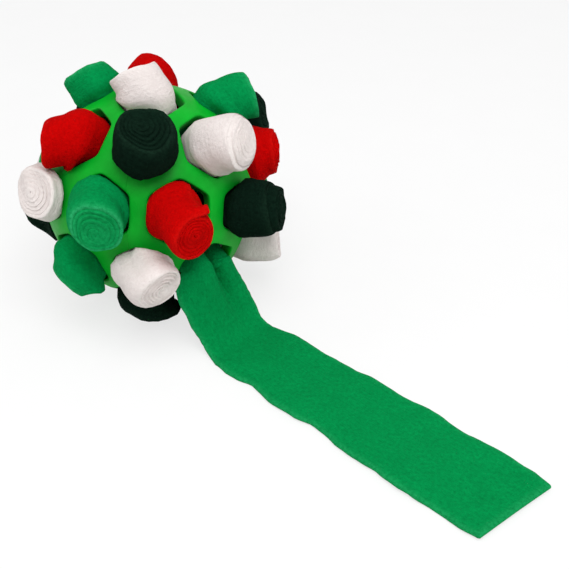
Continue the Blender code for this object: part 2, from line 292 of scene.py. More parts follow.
@dataclass(frozen=True)
class RubberFinish:
    """Satin green rubber with a faint mould skin, painted shade in the hollows and a fine parting line."""

    name: str = "rubber_green_satin"
    colour: tuple = (0.001, 0.38, 0.020)
    shade: tuple = (0.001, 0.29, 0.015)
    # Painted shade: a darker green laid on the rubber deep inside the holes, where shade falls
    painted_shade: tuple = (0.002, 0.09, 0.008)
    roughness: tuple = (0.37, 0.50)
    gloss: float = 0.1
    clouds_per_metre: float = 55
    cloud_range: tuple = (0.35, 0.65)
    smudges_per_metre: float = 190
    smudge_range: tuple = (0.3, 0.7)
    grains_per_metre: float = 1600
    grain_relief: tuple = (0.00005, 0.5)
    skin_radius: float = 0.0543
    # How far below the skin the painted shade reaches, and how much of it shows there
    painted_shade_depth: float = 0.0016
    painted_shade_share: float = 0.8
    parting_half_width: float = 0.00035
    parting_relief: tuple = (0.0003, 0.6)
    parting_way: tuple = (0.995, -0.10, 0.0)

    def make(self, centre: Vector) -> bpy.types.Material:
        """Build the material.

        Args:
            centre: the ball's centre, through which the parting plane runs.

        Returns:
            The finished material.
        """
        sketch = NodeSketch(self.name)
        place = sketch.add("ShaderNodeTexCoord").outputs["Object"]
        cloud = sketch.noise(place, self.clouds_per_metre)
        grain = sketch.noise(place, self.grains_per_metre)
        colour = sketch.mix(sketch.remap(cloud, *self.cloud_range, 0, 1), self.shade, self.colour)
        # Painted shade: the rubber darkens the deeper it lies inside the holes
        colour = sketch.mix(self.depth(sketch, place, centre), colour, self.painted_shade)
        sketch.link(colour, sketch.shader.inputs["Base Color"])
        smudge = sketch.noise(place, self.smudges_per_metre, detail=4)
        rough = sketch.remap(smudge, *self.smudge_range, *self.roughness)
        sketch.link(rough, sketch.shader.inputs["Roughness"])
        sketch.bump(grain, *self.grain_relief)
        sketch.bump(self.parting_line(sketch, place, centre), *self.parting_relief)
        fill(sketch.shader, Specular_IOR_Level=self.gloss)
        return sketch.material

    def depth(self, sketch: NodeSketch, place: Socket, centre: Vector) -> Socket:
        """Return how deep in the holes a point lies, for the painted shade that darkens the rubber there.

        Args:
            sketch: the material that is being made.
            place: the point's place.
            centre: the ball's centre.

        Returns:
            The share of the painted shade's colour, 0 at the skin.
        """
        away = sketch.add("ShaderNodeVectorMath", operation="DISTANCE")
        sketch.link(place, away.inputs[0])
        away.inputs[1].default_value = centre
        low = self.skin_radius - self.painted_shade_depth
        return sketch.remap(away.outputs["Value"], self.skin_radius, low, 0, self.painted_shade_share)

    def parting_line(self, sketch: NodeSketch, place: Socket, centre: Vector) -> Socket:
        """Return a thin raised band where the mould's halves met.

        Args:
            sketch: the material that is being made.
            place: the point's place.
            centre: the ball's centre, which the parting plane holds.

        Returns:
            The band's height, from 0 to 1.
        """
        way = Vector(self.parting_way).normalized()
        dot = sketch.add("ShaderNodeVectorMath", operation="DOT_PRODUCT")
        sketch.link(place, dot.inputs[0])
        dot.inputs[1].default_value = way
        away = sketch.math("SUBTRACT", dot.outputs["Value"], way.dot(centre))
        away = sketch.math("ABSOLUTE", away, 0)
        return sketch.remap(away, 0, self.parting_half_width, 1, 0)


@dataclass(frozen=True)
class FleeceFinish:
    """Brushed fleece: mottled pile, faint rows across the strip, and paler cut edges."""

    slot: FleeceColour
    colour: tuple
    shade: tuple
    edge: tuple
    sheen: float = 0.05
    edge_share: float = 0.5
    roughness: float = 0.95
    gloss: float = 0.02
    sheen_roughness: float = 0.45
    tufts_per_metre: float = 620
    fibres_per_metre: float = 2300
    clouds_per_metre: float = 90
    rows_per_metre: tuple = (130, 900, 1)
    mottle_shares: tuple = (0.6, 0.25, 0.15)
    mottle_range: tuple = (0.36, 0.62)
    cloud_range: tuple = (0.3, 0.7)
    cloud_share: float = 0.35
    loose_range: tuple = (0.35, 0.6)
    least_loose: float = 0.3
    row_relief: tuple = (0.0009, 0.5)
    tuft_relief: tuple = (0.0012, 0.55)
    fibre_relief: tuple = (0.0004, 0.6)

    def make(self) -> bpy.types.Material:
        """Build the material.

        Returns:
            The finished material.
        """
        sketch = NodeSketch(self.slot.value + "_pile")
        texture = sketch.add("ShaderNodeTexCoord")
        place, lay = texture.outputs["Object"], texture.outputs["UV"]
        tuft = sketch.noise(place, self.tufts_per_metre, detail=4, rough=0.7)
        fibre = sketch.noise(place, self.fibres_per_metre)
        rows = sketch.noise(sketch.stretched(lay, self.rows_per_metre), 1)
        cloud = sketch.noise(place, self.clouds_per_metre)
        parts = [sketch.math("MULTIPLY", part, share)
                 for part, share in zip((tuft, fibre, rows), self.mottle_shares)]
        mottle = sketch.math("ADD", sketch.math("ADD", parts[0], parts[1]), parts[2])
        base = sketch.mix(sketch.remap(mottle, *self.mottle_range, 0, 1), self.shade, self.colour)
        base = sketch.mix(sketch.remap(cloud, *self.cloud_range, 0, self.cloud_share), base, self.shade)
        rim = sketch.add("ShaderNodeAttribute", attribute_name="cut_edge").outputs["Fac"]
        loose = sketch.remap(tuft, *self.loose_range, self.least_loose * self.edge_share, self.edge_share)
        base = sketch.mix(sketch.math("MULTIPLY", rim, loose), base, self.edge)
        sketch.link(base, sketch.shader.inputs["Base Color"])
        fill(sketch.shader, Roughness=self.roughness, Specular_IOR_Level=self.gloss,
             Sheen_Weight=self.sheen, Sheen_Roughness=self.sheen_roughness, Sheen_Tint=(*self.edge, 1))
        sketch.bump(rows, *self.row_relief)
        sketch.bump(tuft, *self.tuft_relief)
        sketch.bump(fibre, *self.fibre_relief)
        return sketch.material


FLEECES = {
    FleeceColour.GREEN: FleeceFinish(
        FleeceColour.GREEN, (0.001, 0.29, 0.072), (0.0005, 0.18, 0.044), (0.04, 0.42, 0.17)),
    FleeceColour.DARK_GREEN: FleeceFinish(
        FleeceColour.DARK_GREEN, (0.004, 0.016, 0.009), (0.0015, 0.006, 0.0035), (0.012, 0.035, 0.02),
        sheen=0.02, edge_share=0.4),
    FleeceColour.RED: FleeceFinish(
        FleeceColour.RED, (0.56, 0.001, 0.001), (0.36, 0.0006, 0.0006), (0.70, 0.015, 0.010),
        sheen=0.03, edge_share=0.2),
    FleeceColour.WHITE: FleeceFinish(
        FleeceColour.WHITE, (0.77, 0.71, 0.69), (0.67, 0.60, 0.58), (0.82, 0.77, 0.74)),
}


@dataclass
class Cloth:
    """Turns a grid of points on a cloth's middle surface into a closed piece with rounded cut edges."""

    edge_steps: int = 3
    edge_depth: float = 0.6
    end_turns: tuple = (math.pi / 4, math.pi * 0.45)
    fray_width: float = 0.0009
    sharp_angle: float = math.radians(60)

    def profile(self, middle: np.ndarray, outward: np.ndarray, half: np.ndarray,
                depth: np.ndarray, slant: np.ndarray) -> np.ndarray:
        """Return the closed outline across the cloth at each place along it.

        Args:
            middle: the middle surface's points, along the cloth and then across it.
            outward: unit normals at those points.
            half: half the thickness at those points.
            depth: how round the cut edges are at each place along it, from 0 for flat to 1.
            slant: how steeply the last cut edge rises toward the outward side.

        Returns:
            Points along the cloth and round its outline.
        """
        top = middle + outward * half[..., None]
        under = middle - outward * half[..., None]
        rise = unit(middle[:, -1] - middle[:, -2]) * half[:, -1, None] * slant[:, None]
        top[:, -1] += rise
        under[:, -1] -= rise
        turns = np.linspace(0, math.pi, self.edge_steps + 2)[1:-1]
        rims = []
        for last, before, order in ((-1, -2, turns), (0, 1, turns[::-1])):
            away = unit(middle[:, last] - middle[:, before])
            slope = slant[:, None] if last else 0
            rims.append(np.stack([middle[:, last] + half[:, last, None]
                                  * (outward[:, last] * math.cos(turn)
                                     + away * (math.sin(turn) * depth[:, None] + math.cos(turn) * slope))
                                  for turn in order], axis=1))
        return np.concatenate((top, rims[0], under[:, ::-1], rims[1]), axis=1)

    def rounded_ends(self, columns: tuple, ends: tuple) -> tuple:
        """Add thinning rows beyond the chosen ends, so that those cut edges are round too.

        Args:
            columns: the middle surface, its normals, half the thickness, and what else goes by row.
            ends: whether the first and the last end are cut edges.

        Returns:
            The columns with their new rows.
        """
        for at_end, wanted in zip((False, True), ends):
            if not wanted:
                continue
            middle, outward, half, *others = columns
            last, before = (-1, -2) if at_end else (0, 1)
            away = unit(middle[last] - middle[before])
            rows = [(middle[last] + away * (half[last] * math.sin(turn))[:, None], outward[last],
                     half[last] * math.cos(turn), *(column[last] for column in others))
                    for turn in (self.end_turns if at_end else reversed(self.end_turns))]
            added = [np.stack(column) for column in zip(*rows)]
            columns = tuple(np.concatenate((have, new) if at_end else (new, have))
                            for have, new in zip(columns, added))
        return columns

    def piece(self, name: str, middle: np.ndarray, outward: np.ndarray, half: np.ndarray,
              lengths: np.ndarray, widths: np.ndarray, wear: np.ndarray, ends: tuple = (True, True),
              depth: np.ndarray | None = None, slant: np.ndarray | None = None,
              crisp: bool = False) -> bpy.types.Object:
        """Build the cloth as one closed object.

        Args:
            name: the object's name.
            middle: the middle surface's points, along the cloth and then across it.
            outward: unit normals at those points.
            half: half the thickness at those points.
            lengths: how far along the strip each row lies.
            widths: how far across the strip each column lies.
            wear: how frayed the cut edges are at each row.
            ends: whether the first and the last end are cut edges.
            depth: how round the cut edges are at each row, if that varies.
            slant: how steeply the last cut edge rises toward the outward side at each row, if it does.
            crisp: whether flat cut edges keep their corners.

        Returns:
            The object, with its coordinates along and across the strip and its cut edges marked.
        """
        depth = np.full(len(lengths), self.edge_depth) if depth is None else depth
        slant = np.zeros(len(lengths)) if slant is None else slant
        columns = (middle, outward, half, lengths, depth, wear, slant)
        middle, outward, half, lengths, depth, wear, slant = self.rounded_ends(columns, ends)
        outline = self.profile(middle, outward, half, depth, slant)
        rows, around = outline.shape[:2]
        index = np.arange(rows * around).reshape(rows, around)
        mesh = bpy.data.meshes.new(name)
        mesh.from_pydata(outline.reshape(-1, 3).tolist(), [], self.faces(index, len(widths)))
        self.lay_out(mesh, lengths, widths, wear, ends)
        self.turn_outward(mesh, index, ends, crisp)
        return put_in_scene(name, mesh)

    def faces(self, index: np.ndarray, count: int) -> list:
        """Return the faces that close the cloth.

        Args:
            index: the points' numbers, along the cloth and round its outline.
            count: how many of them lie across one side.

        Returns:
            The corners of each face.
        """
        after = np.roll(index, -1, axis=1)
        made = np.stack((index[:-1], after[:-1], after[1:], index[1:]), axis=-1).reshape(-1, 4).tolist()
        across = 2 * count + self.edge_steps - 1
        for row, flip in ((0, True), (-1, False)):
            loop = index[row].tolist()
            shapes = [(loop[i], loop[i + 1], loop[across - i - 1], loop[across - i])
                      for i in range(count - 1)]
            shapes += [loop[count - 1:count + self.edge_steps + 1], loop[across:] + loop[:1]]
            made += [tuple(reversed(shape)) if flip else tuple(shape) for shape in shapes]
        return made

    def lay_out(self, mesh: bpy.types.Mesh, lengths: np.ndarray, widths: np.ndarray,
                wear: np.ndarray, ends: tuple) -> None:
        """Give each corner its place on the flat strip, and mark how near each point is to a cut edge.

        Args:
            mesh: the closed cloth.
            lengths: how far along the strip each row lies.
            widths: how far across the strip each column of one side lies.
            wear: how frayed the cut edges are at each row.
            ends: whether the first and the last end are cut edges.
        """
        steps = self.edge_steps
        across = np.concatenate((widths, [widths[-1]] * steps, widths[::-1], [widths[0]] * steps))
        from_side = np.minimum(across - widths[0], widths[-1] - across)
        from_end = np.minimum(lengths - lengths.min() if ends[0] else np.inf,
                              lengths.max() - lengths if ends[1] else np.inf)
        fray = np.exp(-np.minimum(from_end[:, None], from_side[None, :]) / self.fray_width) * wear[:, None]
        rim = mesh.attributes.new("cut_edge", "FLOAT", "POINT")
        rim.data.foreach_set("value", fray.astype(np.float32).ravel())
        flat = np.stack(np.broadcast_arrays(lengths[:, None], across[None, :]), axis=-1).reshape(-1, 2)
        corners = np.zeros(len(mesh.loops), dtype=np.int32)
        mesh.loops.foreach_get("vertex_index", corners)
        layer = mesh.uv_layers.new(name="strip")
        layer.uv.foreach_set("vector", flat[corners].astype(np.float32).ravel())

    def turn_outward(self, mesh: bpy.types.Mesh, index: np.ndarray, ends: tuple, crisp: bool) -> None:
        """Face the mesh outward, shade it smooth and keep the ends that meet another piece sharp.

        Args:
            mesh: the closed cloth.
            index: the points' numbers, along the cloth and round its outline.
            ends: whether the first and the last end are cut edges.
            crisp: whether flat cut edges keep their corners.
        """
        bm = bmesh.new()
        bm.from_mesh(mesh)
        bmesh.ops.recalc_face_normals(bm, faces=bm.faces)
        bm.verts.ensure_lookup_table()
        joints = [row for row, cut in zip((0, -1), ends) if not cut]
        for row in joints:
            rim = {bm.verts[i] for i in index[row]}
            for edge in {edge for vert in rim for edge in vert.link_edges}:
                if edge.verts[0] in rim and edge.verts[1] in rim:
                    edge.smooth = False
        bm.to_mesh(mesh)
        bm.free()
        mesh.shade_smooth()
        if joints or crisp:
            mesh.set_sharp_from_angle(angle=self.sharp_angle)


@dataclass
class Hole:
    """One hole of the ball: its axis and the directions of its corners from the ball's centre."""

    axis: Vector
    corners: list
    polar: float = 0.98

    @property
    def sides(self) -> int:
        """Return how many sides the hole has."""
        return len(self.corners)

    def frame(self) -> Matrix:
        """Return a rotation whose Z is the hole's axis and whose X points at its first corner."""
        across = (self.corners[0] - self.axis * self.axis.dot(self.corners[0])).normalized()
        return Matrix((across, self.axis.cross(across), self.axis)).transposed()

    def upward(self) -> float:
        """Find which way is up as seen from outside the ball.

        Returns:
            The angle in the hole's frame that points to the top, or to the back near the poles.
        """
        reference = BACK if abs(self.axis.z) > self.polar else UP
        local = self.frame().inverted() @ reference
        return math.atan2(local.y, local.x)


@dataclass
class Lattice:
    """The hollow rubber ball: ribs with soft lips round 12 five-sided and 20 six-sided holes."""

    radius: float = 0.055
    wall: float = 0.006
    rib_width: float = 0.0087
    hole_corner: float = 0.0045
    height: float = 0.060
    turn: float = math.radians(-1)
    tilt: float = math.radians(5)
    tilt_toward: float = math.radians(-42)
    lip: float = 0.0005
    lip_guard: float = 0.0013
    crown: float = 0.0001
    straight_steps: int = 2
    rib_end_share: float = 0.24
    rounding_steps: int = 2
    cut_percent: float = 100 / 3
    key_digits: int = 4

    def __post_init__(self) -> None:
        """Find the holes and match them to the frame's bodies."""
        self.centre = UP * self.height
        tilt_axis = Vector((-math.sin(self.tilt_toward), math.cos(self.tilt_toward), 0))
        lie = Matrix.Rotation(self.tilt, 3, tilt_axis) @ Matrix.Rotation(self.turn, 3, "Z")
        self.holes = []
        for corners in self.solid_faces():
            turned = [lie @ corner for corner in corners]
            self.holes.append(Hole(sum(turned, Vector()).normalized(), turned))
        self.by_body = {}
        for joint in frame["joints"]:
            if joint["type"] == "slide":
                way = Vector(joint["axis"])
                self.by_body[joint["child"]] = max(self.holes, key=lambda hole: hole.axis.dot(way))
        taken = {id(hole) for hole in self.by_body.values()}
        self.open_hole = next(hole for hole in self.holes if id(hole) not in taken)

    def solid_faces(self) -> list:
        """Cut the corners off an icosahedron that has one face upward.

        Returns:
            The 32 faces, each a list of its corners' directions.
        """
        bm = bmesh.new()
        bmesh.ops.create_icosphere(bm, subdivisions=1, radius=1)
        bm.faces.ensure_lookup_table()
        top = bm.faces[0]
        upright = top.normal.rotation_difference(UP).to_matrix()
        corner = upright @ top.verts[0].co
        to_front = Matrix.Rotation(-math.pi / 2 - math.atan2(corner.y, corner.x), 3, "Z")
        bmesh.ops.transform(bm, matrix=(to_front @ upright).to_4x4(), verts=bm.verts)
        bmesh.ops.bevel(bm, geom=bm.verts[:], offset=self.cut_percent, offset_type="PERCENT",
                        affect="VERTICES")
        faces = [[vert.co.normalized() for vert in face.verts] for face in bm.faces]
        bm.free()
        return faces

    def slope(self, hole: Hole, inset: float = 0) -> float:
        """Return a hole's half width across flats at unit distance from the centre.

        Args:
            hole: the hole.
            inset: how far into the hole its edge is moved.

        Returns:
            The half width.
        """
        middle = (hole.corners[0] + hole.corners[1]).normalized()
        half_angle = hole.axis.angle(middle) - math.asin((self.rib_width / 2 + inset) / self.radius)
        return math.tan(half_angle)

    def outline(self, hole: Hole, inset: float) -> list:
        """Return a hole's outline as directions from the centre.

        Args:
            hole: the hole.
            inset: how far into the hole the outline is moved.

        Returns:
            For each corner, three points on its arc and the points of the side after it.
        """
        place = hole.frame()
        slope = self.slope(hole, inset)
        corner = max(self.hole_corner - inset, self.hole_corner / 2) / self.radius
        reach = (slope - corner) / math.cos(math.pi / hole.sides)

        def point(side: int, swing_share: float) -> Vector:
            """Place a point on a corner's arc.

            Args:
                side: the corner's number.
                swing_share: the place on its arc, from -1 to 1.

            Returns:
                The point's direction from the ball's centre.
            """
            angle = math.tau * side / hole.sides
            swing = angle + swing_share * math.pi / hole.sides
            x = reach * math.cos(angle) + corner * math.cos(swing)
            y = reach * math.sin(angle) + corner * math.sin(swing)
            return (place @ Vector((x, y, 1))).normalized()

        made = []
        for side in range(hole.sides):
            start, end = point(side, 1), point(side + 1, -1)
            straight = [start.lerp(end, i / self.straight_steps).normalized()
                        for i in range(1, self.straight_steps)]
            made.append([point(side, -1), point(side, 0), start, *straight])
        return made

    def build(self) -> bpy.types.Object:
        """Build the lattice as one smooth closed mesh.

        Returns:
            The object, in place of the model's own lattice.
        """
        bm = bmesh.new()
        inner = self.radius - self.wall
        levels = [(self.lip_guard, self.radius + self.crown / 2), (self.lip, self.radius),
                  (0, self.radius - self.lip), (0, self.radius - self.lip_guard),
                  (0, inner + self.lip_guard), (0, inner + self.lip), (self.lip, inner),
                  (self.lip_guard, inner)]
        shared = {}

        def middle(direction: Vector, radius: float) -> bmesh.types.BMVert:
            """Find or make the vertex on a rib's middle line.

            Args:
                direction: its direction from the ball's centre.
                radius: its distance from there.

            Returns:
                The vertex, shared by the holes beside the rib.
            """
            key = (radius, *(round(value, self.key_digits) for value in direction))
            if key not in shared:
                shared[key] = bm.verts.new(direction * radius)
            return shared[key]

        for hole in self.holes:
            rings = []
            for inset, radius in levels:
                corners = self.outline(hole, -inset)
                rings.append([[bm.verts.new(point * radius) for point in group] for group in corners])
            for upper, lower in zip(rings, rings[1:]):
                above, below = sum(upper, []), sum(lower, [])
                for i, vert in enumerate(above):
                    after = (i + 1) % len(above)
                    bm.faces.new((vert, above[after], below[after], below[i]))
            for ring, radius, flip in ((rings[0], self.radius + self.crown, False),
                                       (rings[-1], inner - self.crown, True)):
                self.fill_ribs(bm, hole, ring, lambda way, r=radius: middle(way, r), flip)
        bmesh.ops.recalc_face_normals(bm, faces=bm.faces)
        mesh = bpy.data.meshes.new("rubber_lattice")
        bm.to_mesh(mesh)
        bm.free()
        mesh.transform(Matrix.Translation(self.centre))
        mesh.shade_smooth()
        made = put_in_scene("rubber_lattice", mesh)
        rounding = made.modifiers.new("rounding", "SUBSURF")
        rounding.levels = rounding.render_levels = self.rounding_steps
        return made

    def fill_ribs(self, bm: bmesh.types.BMesh, hole: Hole, ring: list, middle: Callable,
                  flip: bool) -> None:
        """Fill from a hole's outline to the middle lines of its ribs and their meeting points.

        Args:
            bm: the mesh that is being made.
            hole: the hole.
            ring: its outline's vertices at this level, in groups by corner.
            middle: gives the shared vertex in a direction from the centre.
            flip: whether the faces are turned over, as on the inside.
        """
        sides = hole.sides
        for side in range(sides):
            here, after = hole.corners[side], hole.corners[(side + 1) % sides]
            before = hole.corners[side - 1]
            share = self.rib_end_share
            steps = self.straight_steps
            line = [middle(here.slerp(after, share + (1 - 2 * share) * i / steps)) for i in range(steps + 1)]
            edge = ring[side][2:] + [ring[(side + 1) % sides][0]]
            shapes = [(edge[i], edge[i + 1], line[i + 1], line[i]) for i in range(steps)]
            knot = middle(here)
            arc = ring[side][:3]
            shapes.append((knot, middle(here.slerp(before, share)), arc[0], arc[1]))
            shapes.append((knot, arc[1], arc[2], line[0]))
            for shape in shapes:
                bm.faces.new(tuple(reversed(shape)) if flip else shape)

    def dress(self) -> None:
        """Build the lattice, give it its rubber and put it on the ball's body."""
        made = self.build()
        made.data.materials.append(RubberFinish().make(self.centre))
        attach(made, "ball")
        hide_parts("ball_lattice")
        log.info("rubber lattice: %d holes", len(self.holes))


@dataclass
class RollStyle:
    """How one rolled strip looks: sizes in metres, angles in degrees.

    Directions are counted clockwise from the top, or from the back on the crown and the foot,
    as seen from outside the ball. Toward its middle the end rises by proud, cone, step and dome.
    Tuck narrows the end, bulge widens the roll below it, and core is how far the winding lies off
    its middle. Soft, from 0 to 1, melts the turns' edges into one face.
    """

    colour: FleeceColour
    stand_out: float
    lean: float = 0
    toward: float = 0
    girth: float = 0.92
    shift: float = 0
    shift_toward: float = 0
    proud: float = 0.0006
    cone: float = 0
    step: float = 0
    seam: float | None = None
    bulge: float = 0.04
    tuck: float = 0.15
    turn: Turn = Turn.CLOCKWISE
    on_floor: bool = False
    square_end: bool = False
    seat_fill: float = 1.12
    wrinkle: float = 0.028
    end_tilt: float = 0
    end_toward: float = 0
    tab: float = 0
    core: float = 0.14
    core_toward: float | None = None
    pucker: float | None = None
    soft: float = 0.3
    rim_round: float = 0.0050
    dome: float = 0
    bend_end: float | None = None
    seed: int = 1


@dataclass
class WoundRoll:
    """One fleece strip wound from end to end and pressed into a hole."""

    body: str
    hole: Hole
    ball: Lattice
    style: RollStyle
    strip_width: float = 0.045
    strip_length: float = 0.300
    thickness: float = 0.0023
    core_radius: float = 0.0007
    core_step: float = 2.4
    pile_share: float = 0.97
    pile_pressed: float = 0.12
    pile_soft: float = 0.12
    columns_per_turn: int = 26
    probe: float = 0.0004
    # The heights of its cross-sections
    deep_top: float = -0.008
    deep_rows: int = 5
    seat_heights: tuple = (-0.006, -0.004, -0.002, 0, 0.0015, 0.003, 0.005)
    out_start: float = 0.0075
    out_step: float = 0.0028
    rim_rows: int = 5
    rim_lowest: float = 0.001
    rim_gap: float = 0.0008
    # How its hole presses it
    clearance: float = 0.0003
    neck_height: float = 0.009
    inner_share: float = 0.72
    inner_rise: float = 0.004
    room_flare: float = 1.5
    corner_power: int = 14
    least_room: float = 0.001
    least_facing: float = 0.02
    shift_start: float = -0.012
    shift_rise: float = 0.010
    squash_height: float = 0.006
    # Its bend, pleats, folds and creases
    bend_start: float = -0.002
    least_lean: float = 0.001
    pleats: int = 12
    pleat_share: float = 0.7
    pleat_height: float = 0.008
    pleat_twist: float = 0.008
    pucker_depth: float = 0.18
    pucker_width: float = 0.2
    pucker_lip: float = 0.4
    pucker_height: float = 0.003
    pucker_length: float = 0.010
    fold_length: float = 0.02
    fold_wave: float = 0.95
    crease_length: float = 0.05
    crease_wave: float = 0.42
    crease_height: float = 0.002
    crease_spread: float = 0.006
    crease_share: float = 0.8
    # Its outer end
    edge_depth: float = 0.5
    proud_power: float = 1.5
    dome_power: float = 3
    cone_share: float = 0.6
    step_share: float = 0.86
    step_width: float = 0.03
    end_uneven: float = 0.0004
    end_wave: float = 0.8
    turn_uneven: float = 0.0005
    turn_wave: float = 1.7
    turn_radius: float = 0.5
    turn_rise: float = 0.9
    outer_turns: float = 0.5
    inner_wear: float = 0.25
    crisp_soft: float = 0.5
    # How its turns press on each other, and its free end
    press_wave: float = 1.6
    press_radius: float = 0.6
    press_rise: float = 0.12
    press_gain: float = 1.1
    press_flat: float = 0.9
    free_span: float = 0.28
    free_sink: float = 0.35
    free_thin: float = 0.5
    tab_span: float = 0.62
    tab_depth: float = 0.0062
    tab_rise: float = 0.002

    def __post_init__(self) -> None:
        """Work out the winding from the cloth's length and thickness."""
        style = self.style
        self.radius = math.sqrt(self.strip_length * self.thickness / math.pi) * style.girth
        self.pitch = self.thickness * style.girth
        self.turns = (self.radius - self.core_radius) / self.pitch
        self.frame = self.hole.frame()
        self.lean = math.radians(style.lean)
        self.toward = self.seen(style.toward)
        self.shift_toward = self.seen(style.shift_toward)
        self.end_toward = self.seen(style.end_toward)
        self.seam = self.angle_of(HIDDEN_SIDE) if style.seam is None else self.seen(style.seam)
        own_way = math.degrees(self.core_step * style.seed)
        self.core_toward = self.seen(own_way if style.core_toward is None else style.core_toward)
        self.pucker = None if style.pucker is None else self.seen(style.pucker)
        if style.square_end:
            self.lean = self.hole.axis.angle(-UP)
            self.toward = self.angle_of(-UP)

    def seen(self, degrees: float) -> float:
        """Return the angle in the hole's frame of a direction that is given as a style gives it."""
        return self.hole.upward() - math.radians(degrees)

    def angle_of(self, way: Vector) -> float:
        """Return the angle in the hole's frame that points a way."""
        local = self.frame.inverted() @ way
        return math.atan2(local.y, local.x)

    def stations(self) -> np.ndarray:
        """Choose where the cross-sections lie.

        Returns:
            Their heights above the ball, from the inner end to the outer one.
        """
        top = self.style.stand_out - self.thickness / 2 * self.edge_depth
        deep = np.linspace(top - self.strip_width, self.deep_top, self.deep_rows)
        out = np.arange(self.out_start, top - self.style.rim_round, self.out_step)
        rim = top - self.style.rim_round * (1 - np.sin(np.linspace(0, math.pi / 2, self.rim_rows)))
        rim = rim[rim > self.rim_lowest]
        below = np.concatenate((deep, self.seat_heights, out))
        return np.concatenate((below[below < rim[0] - self.rim_gap], rim))

    def reach(self, angle: np.ndarray, height: np.ndarray) -> np.ndarray:
        """Return how far the roll's outside is from its middle at an angle and a height.

        Args:
            angle: angles in the hole's frame.
            height: heights above the ball along the roll.

        Returns:
            Distances, with the hole's flats pressed in where the roll passes the ribs.
        """
        style = self.style
        loose = self.radius * (style.seat_fill + (1 - style.seat_fill) * smooth(height / self.neck_height))
        room = self.ball.slope(self.hole) * (self.ball.radius + np.minimum(height, 0)) - self.clearance
        inner = style.stand_out - self.strip_width
        room = room * (self.inner_share + (1 - self.inner_share) * smooth((height - inner) / self.inner_rise))
        room = room + np.maximum(height, 0) * self.room_flare
        power = self.corner_power
        total = loose ** -power
        for side in range(self.hole.sides):
            facing = (2 * side + 1) * math.pi / self.hole.sides
            flat = room - self.moved(height) * math.cos(self.shift_toward - facing)
            flat = np.maximum(flat, self.least_room)
            total = total + np.maximum(np.cos(angle - facing), self.least_facing) ** power * flat ** -power
        reach = total ** (-1 / power)
        surplus = np.clip(1 - reach / self.radius, 0, 1) * smooth(-height / self.pleat_height)
        pleat = 0.5 + 0.5 * np.cos(self.pleats * angle + height / self.pleat_twist)
        reach = reach * (1 - self.pleat_share * surplus * pleat)
        swell = np.sin(np.clip(height / style.stand_out, 0, 1) * math.pi)
        reach = reach * (1 + style.bulge * swell)
        if self.pucker is not None:
            reach = reach * (1 - self.pucker_fold(angle, height))
        rim = np.clip((height - (style.stand_out - style.rim_round)) / style.rim_round, 0, 1)
        return reach * (1 - style.tuck * (1 - np.sqrt(1 - rim * rim)))

    def pucker_fold(self, angle: np.ndarray, height: np.ndarray) -> np.ndarray:
        """Return how deep the one sharp fold beside the hole is.

        Args:
            angle: angles in the hole's frame.
            height: heights above the ball along the roll.

        Returns:
            Shares of the roll's reach, below 0 on the fold's two lips.
        """
        away = np.angle(np.exp(1j * (angle - self.pucker)))
        lips = np.exp(-((np.abs(away) - 2 * self.pucker_width) / self.pucker_width) ** 2)
        fold = np.exp(-(away / self.pucker_width) ** 2) - self.pucker_lip * lips
        return self.pucker_depth * fold * np.exp(-((height - self.pucker_height) / self.pucker_length) ** 2)

    def moved(self, height: np.ndarray) -> np.ndarray:
        """Return how far the roll sits from the hole's middle at a height."""
        return self.style.shift * smooth((height - self.shift_start) / self.shift_rise)

    def waves(self, kind: Waves, angle: np.ndarray, out: np.ndarray | float, height: np.ndarray,
              wavelength: float) -> np.ndarray:
        """Return this roll's own random waves of one kind.

        Args:
            kind: what they are for.
            angle: angles round the roll.
            out: distances from its middle.
            height: heights along it, or what takes their place.
            wavelength: the typical distance from crest to crest, in the unit of out and height.

        Returns:
            One value for each place, mostly between -1 and 1.
        """
        points = np.stack((np.cos(angle) * out, np.sin(angle) * out, height), axis=-1)
        return ripple(points, wavelength, self.style.seed * SEEDS_PER_ROLL + kind.value)

    def wrinkles(self, angle: np.ndarray, height: np.ndarray) -> np.ndarray:
        """Return the folds that the hole presses into the roll.

        Args:
            angle: angles in the hole's frame.
            height: heights above the ball along the roll.

        Returns:
            Shares of the roll's reach.
        """
        folds = self.waves(Waves.FOLDS, angle, 1, height / self.fold_length, self.fold_wave)
        creases = self.waves(Waves.CREASES, angle, 1, height / self.crease_length, self.crease_wave)
        near = np.exp(-np.abs(height - self.crease_height) / self.crease_spread)
        return self.style.wrinkle * (folds + creases * near * self.crease_share)

    def end_height(self, angle: np.ndarray, share: np.ndarray) -> np.ndarray:
        """Return how far each turn's outer edge stands above or below the roll's end.

        Args:
            angle: angles in the hole's frame.
            share: distances from the roll's middle, as shares of its radius.

        Returns:
            Heights above the plain end.
        """
        style = self.style
        rise = style.proud * (1 - share ** self.proud_power)
        rise = rise + style.cone * smooth((1 - share) / self.cone_share)
        rise = rise + style.dome * (1 - share ** self.dome_power)
        rise = rise + style.step * smooth((self.step_share - share) / self.step_width)
        slant = math.tan(math.radians(style.end_tilt)) * self.radius
        rise = rise + slant * share * np.cos(angle - self.end_toward)
        layer = share * self.turns * self.turn_rise
        turns = self.waves(Waves.TURNS, angle, self.turn_radius, layer, self.turn_wave)
        rise = rise + self.turn_uneven * turns * (1 - style.soft)
        return rise + self.end_uneven * self.waves(Waves.END, angle, share, share * 0, self.end_wave)

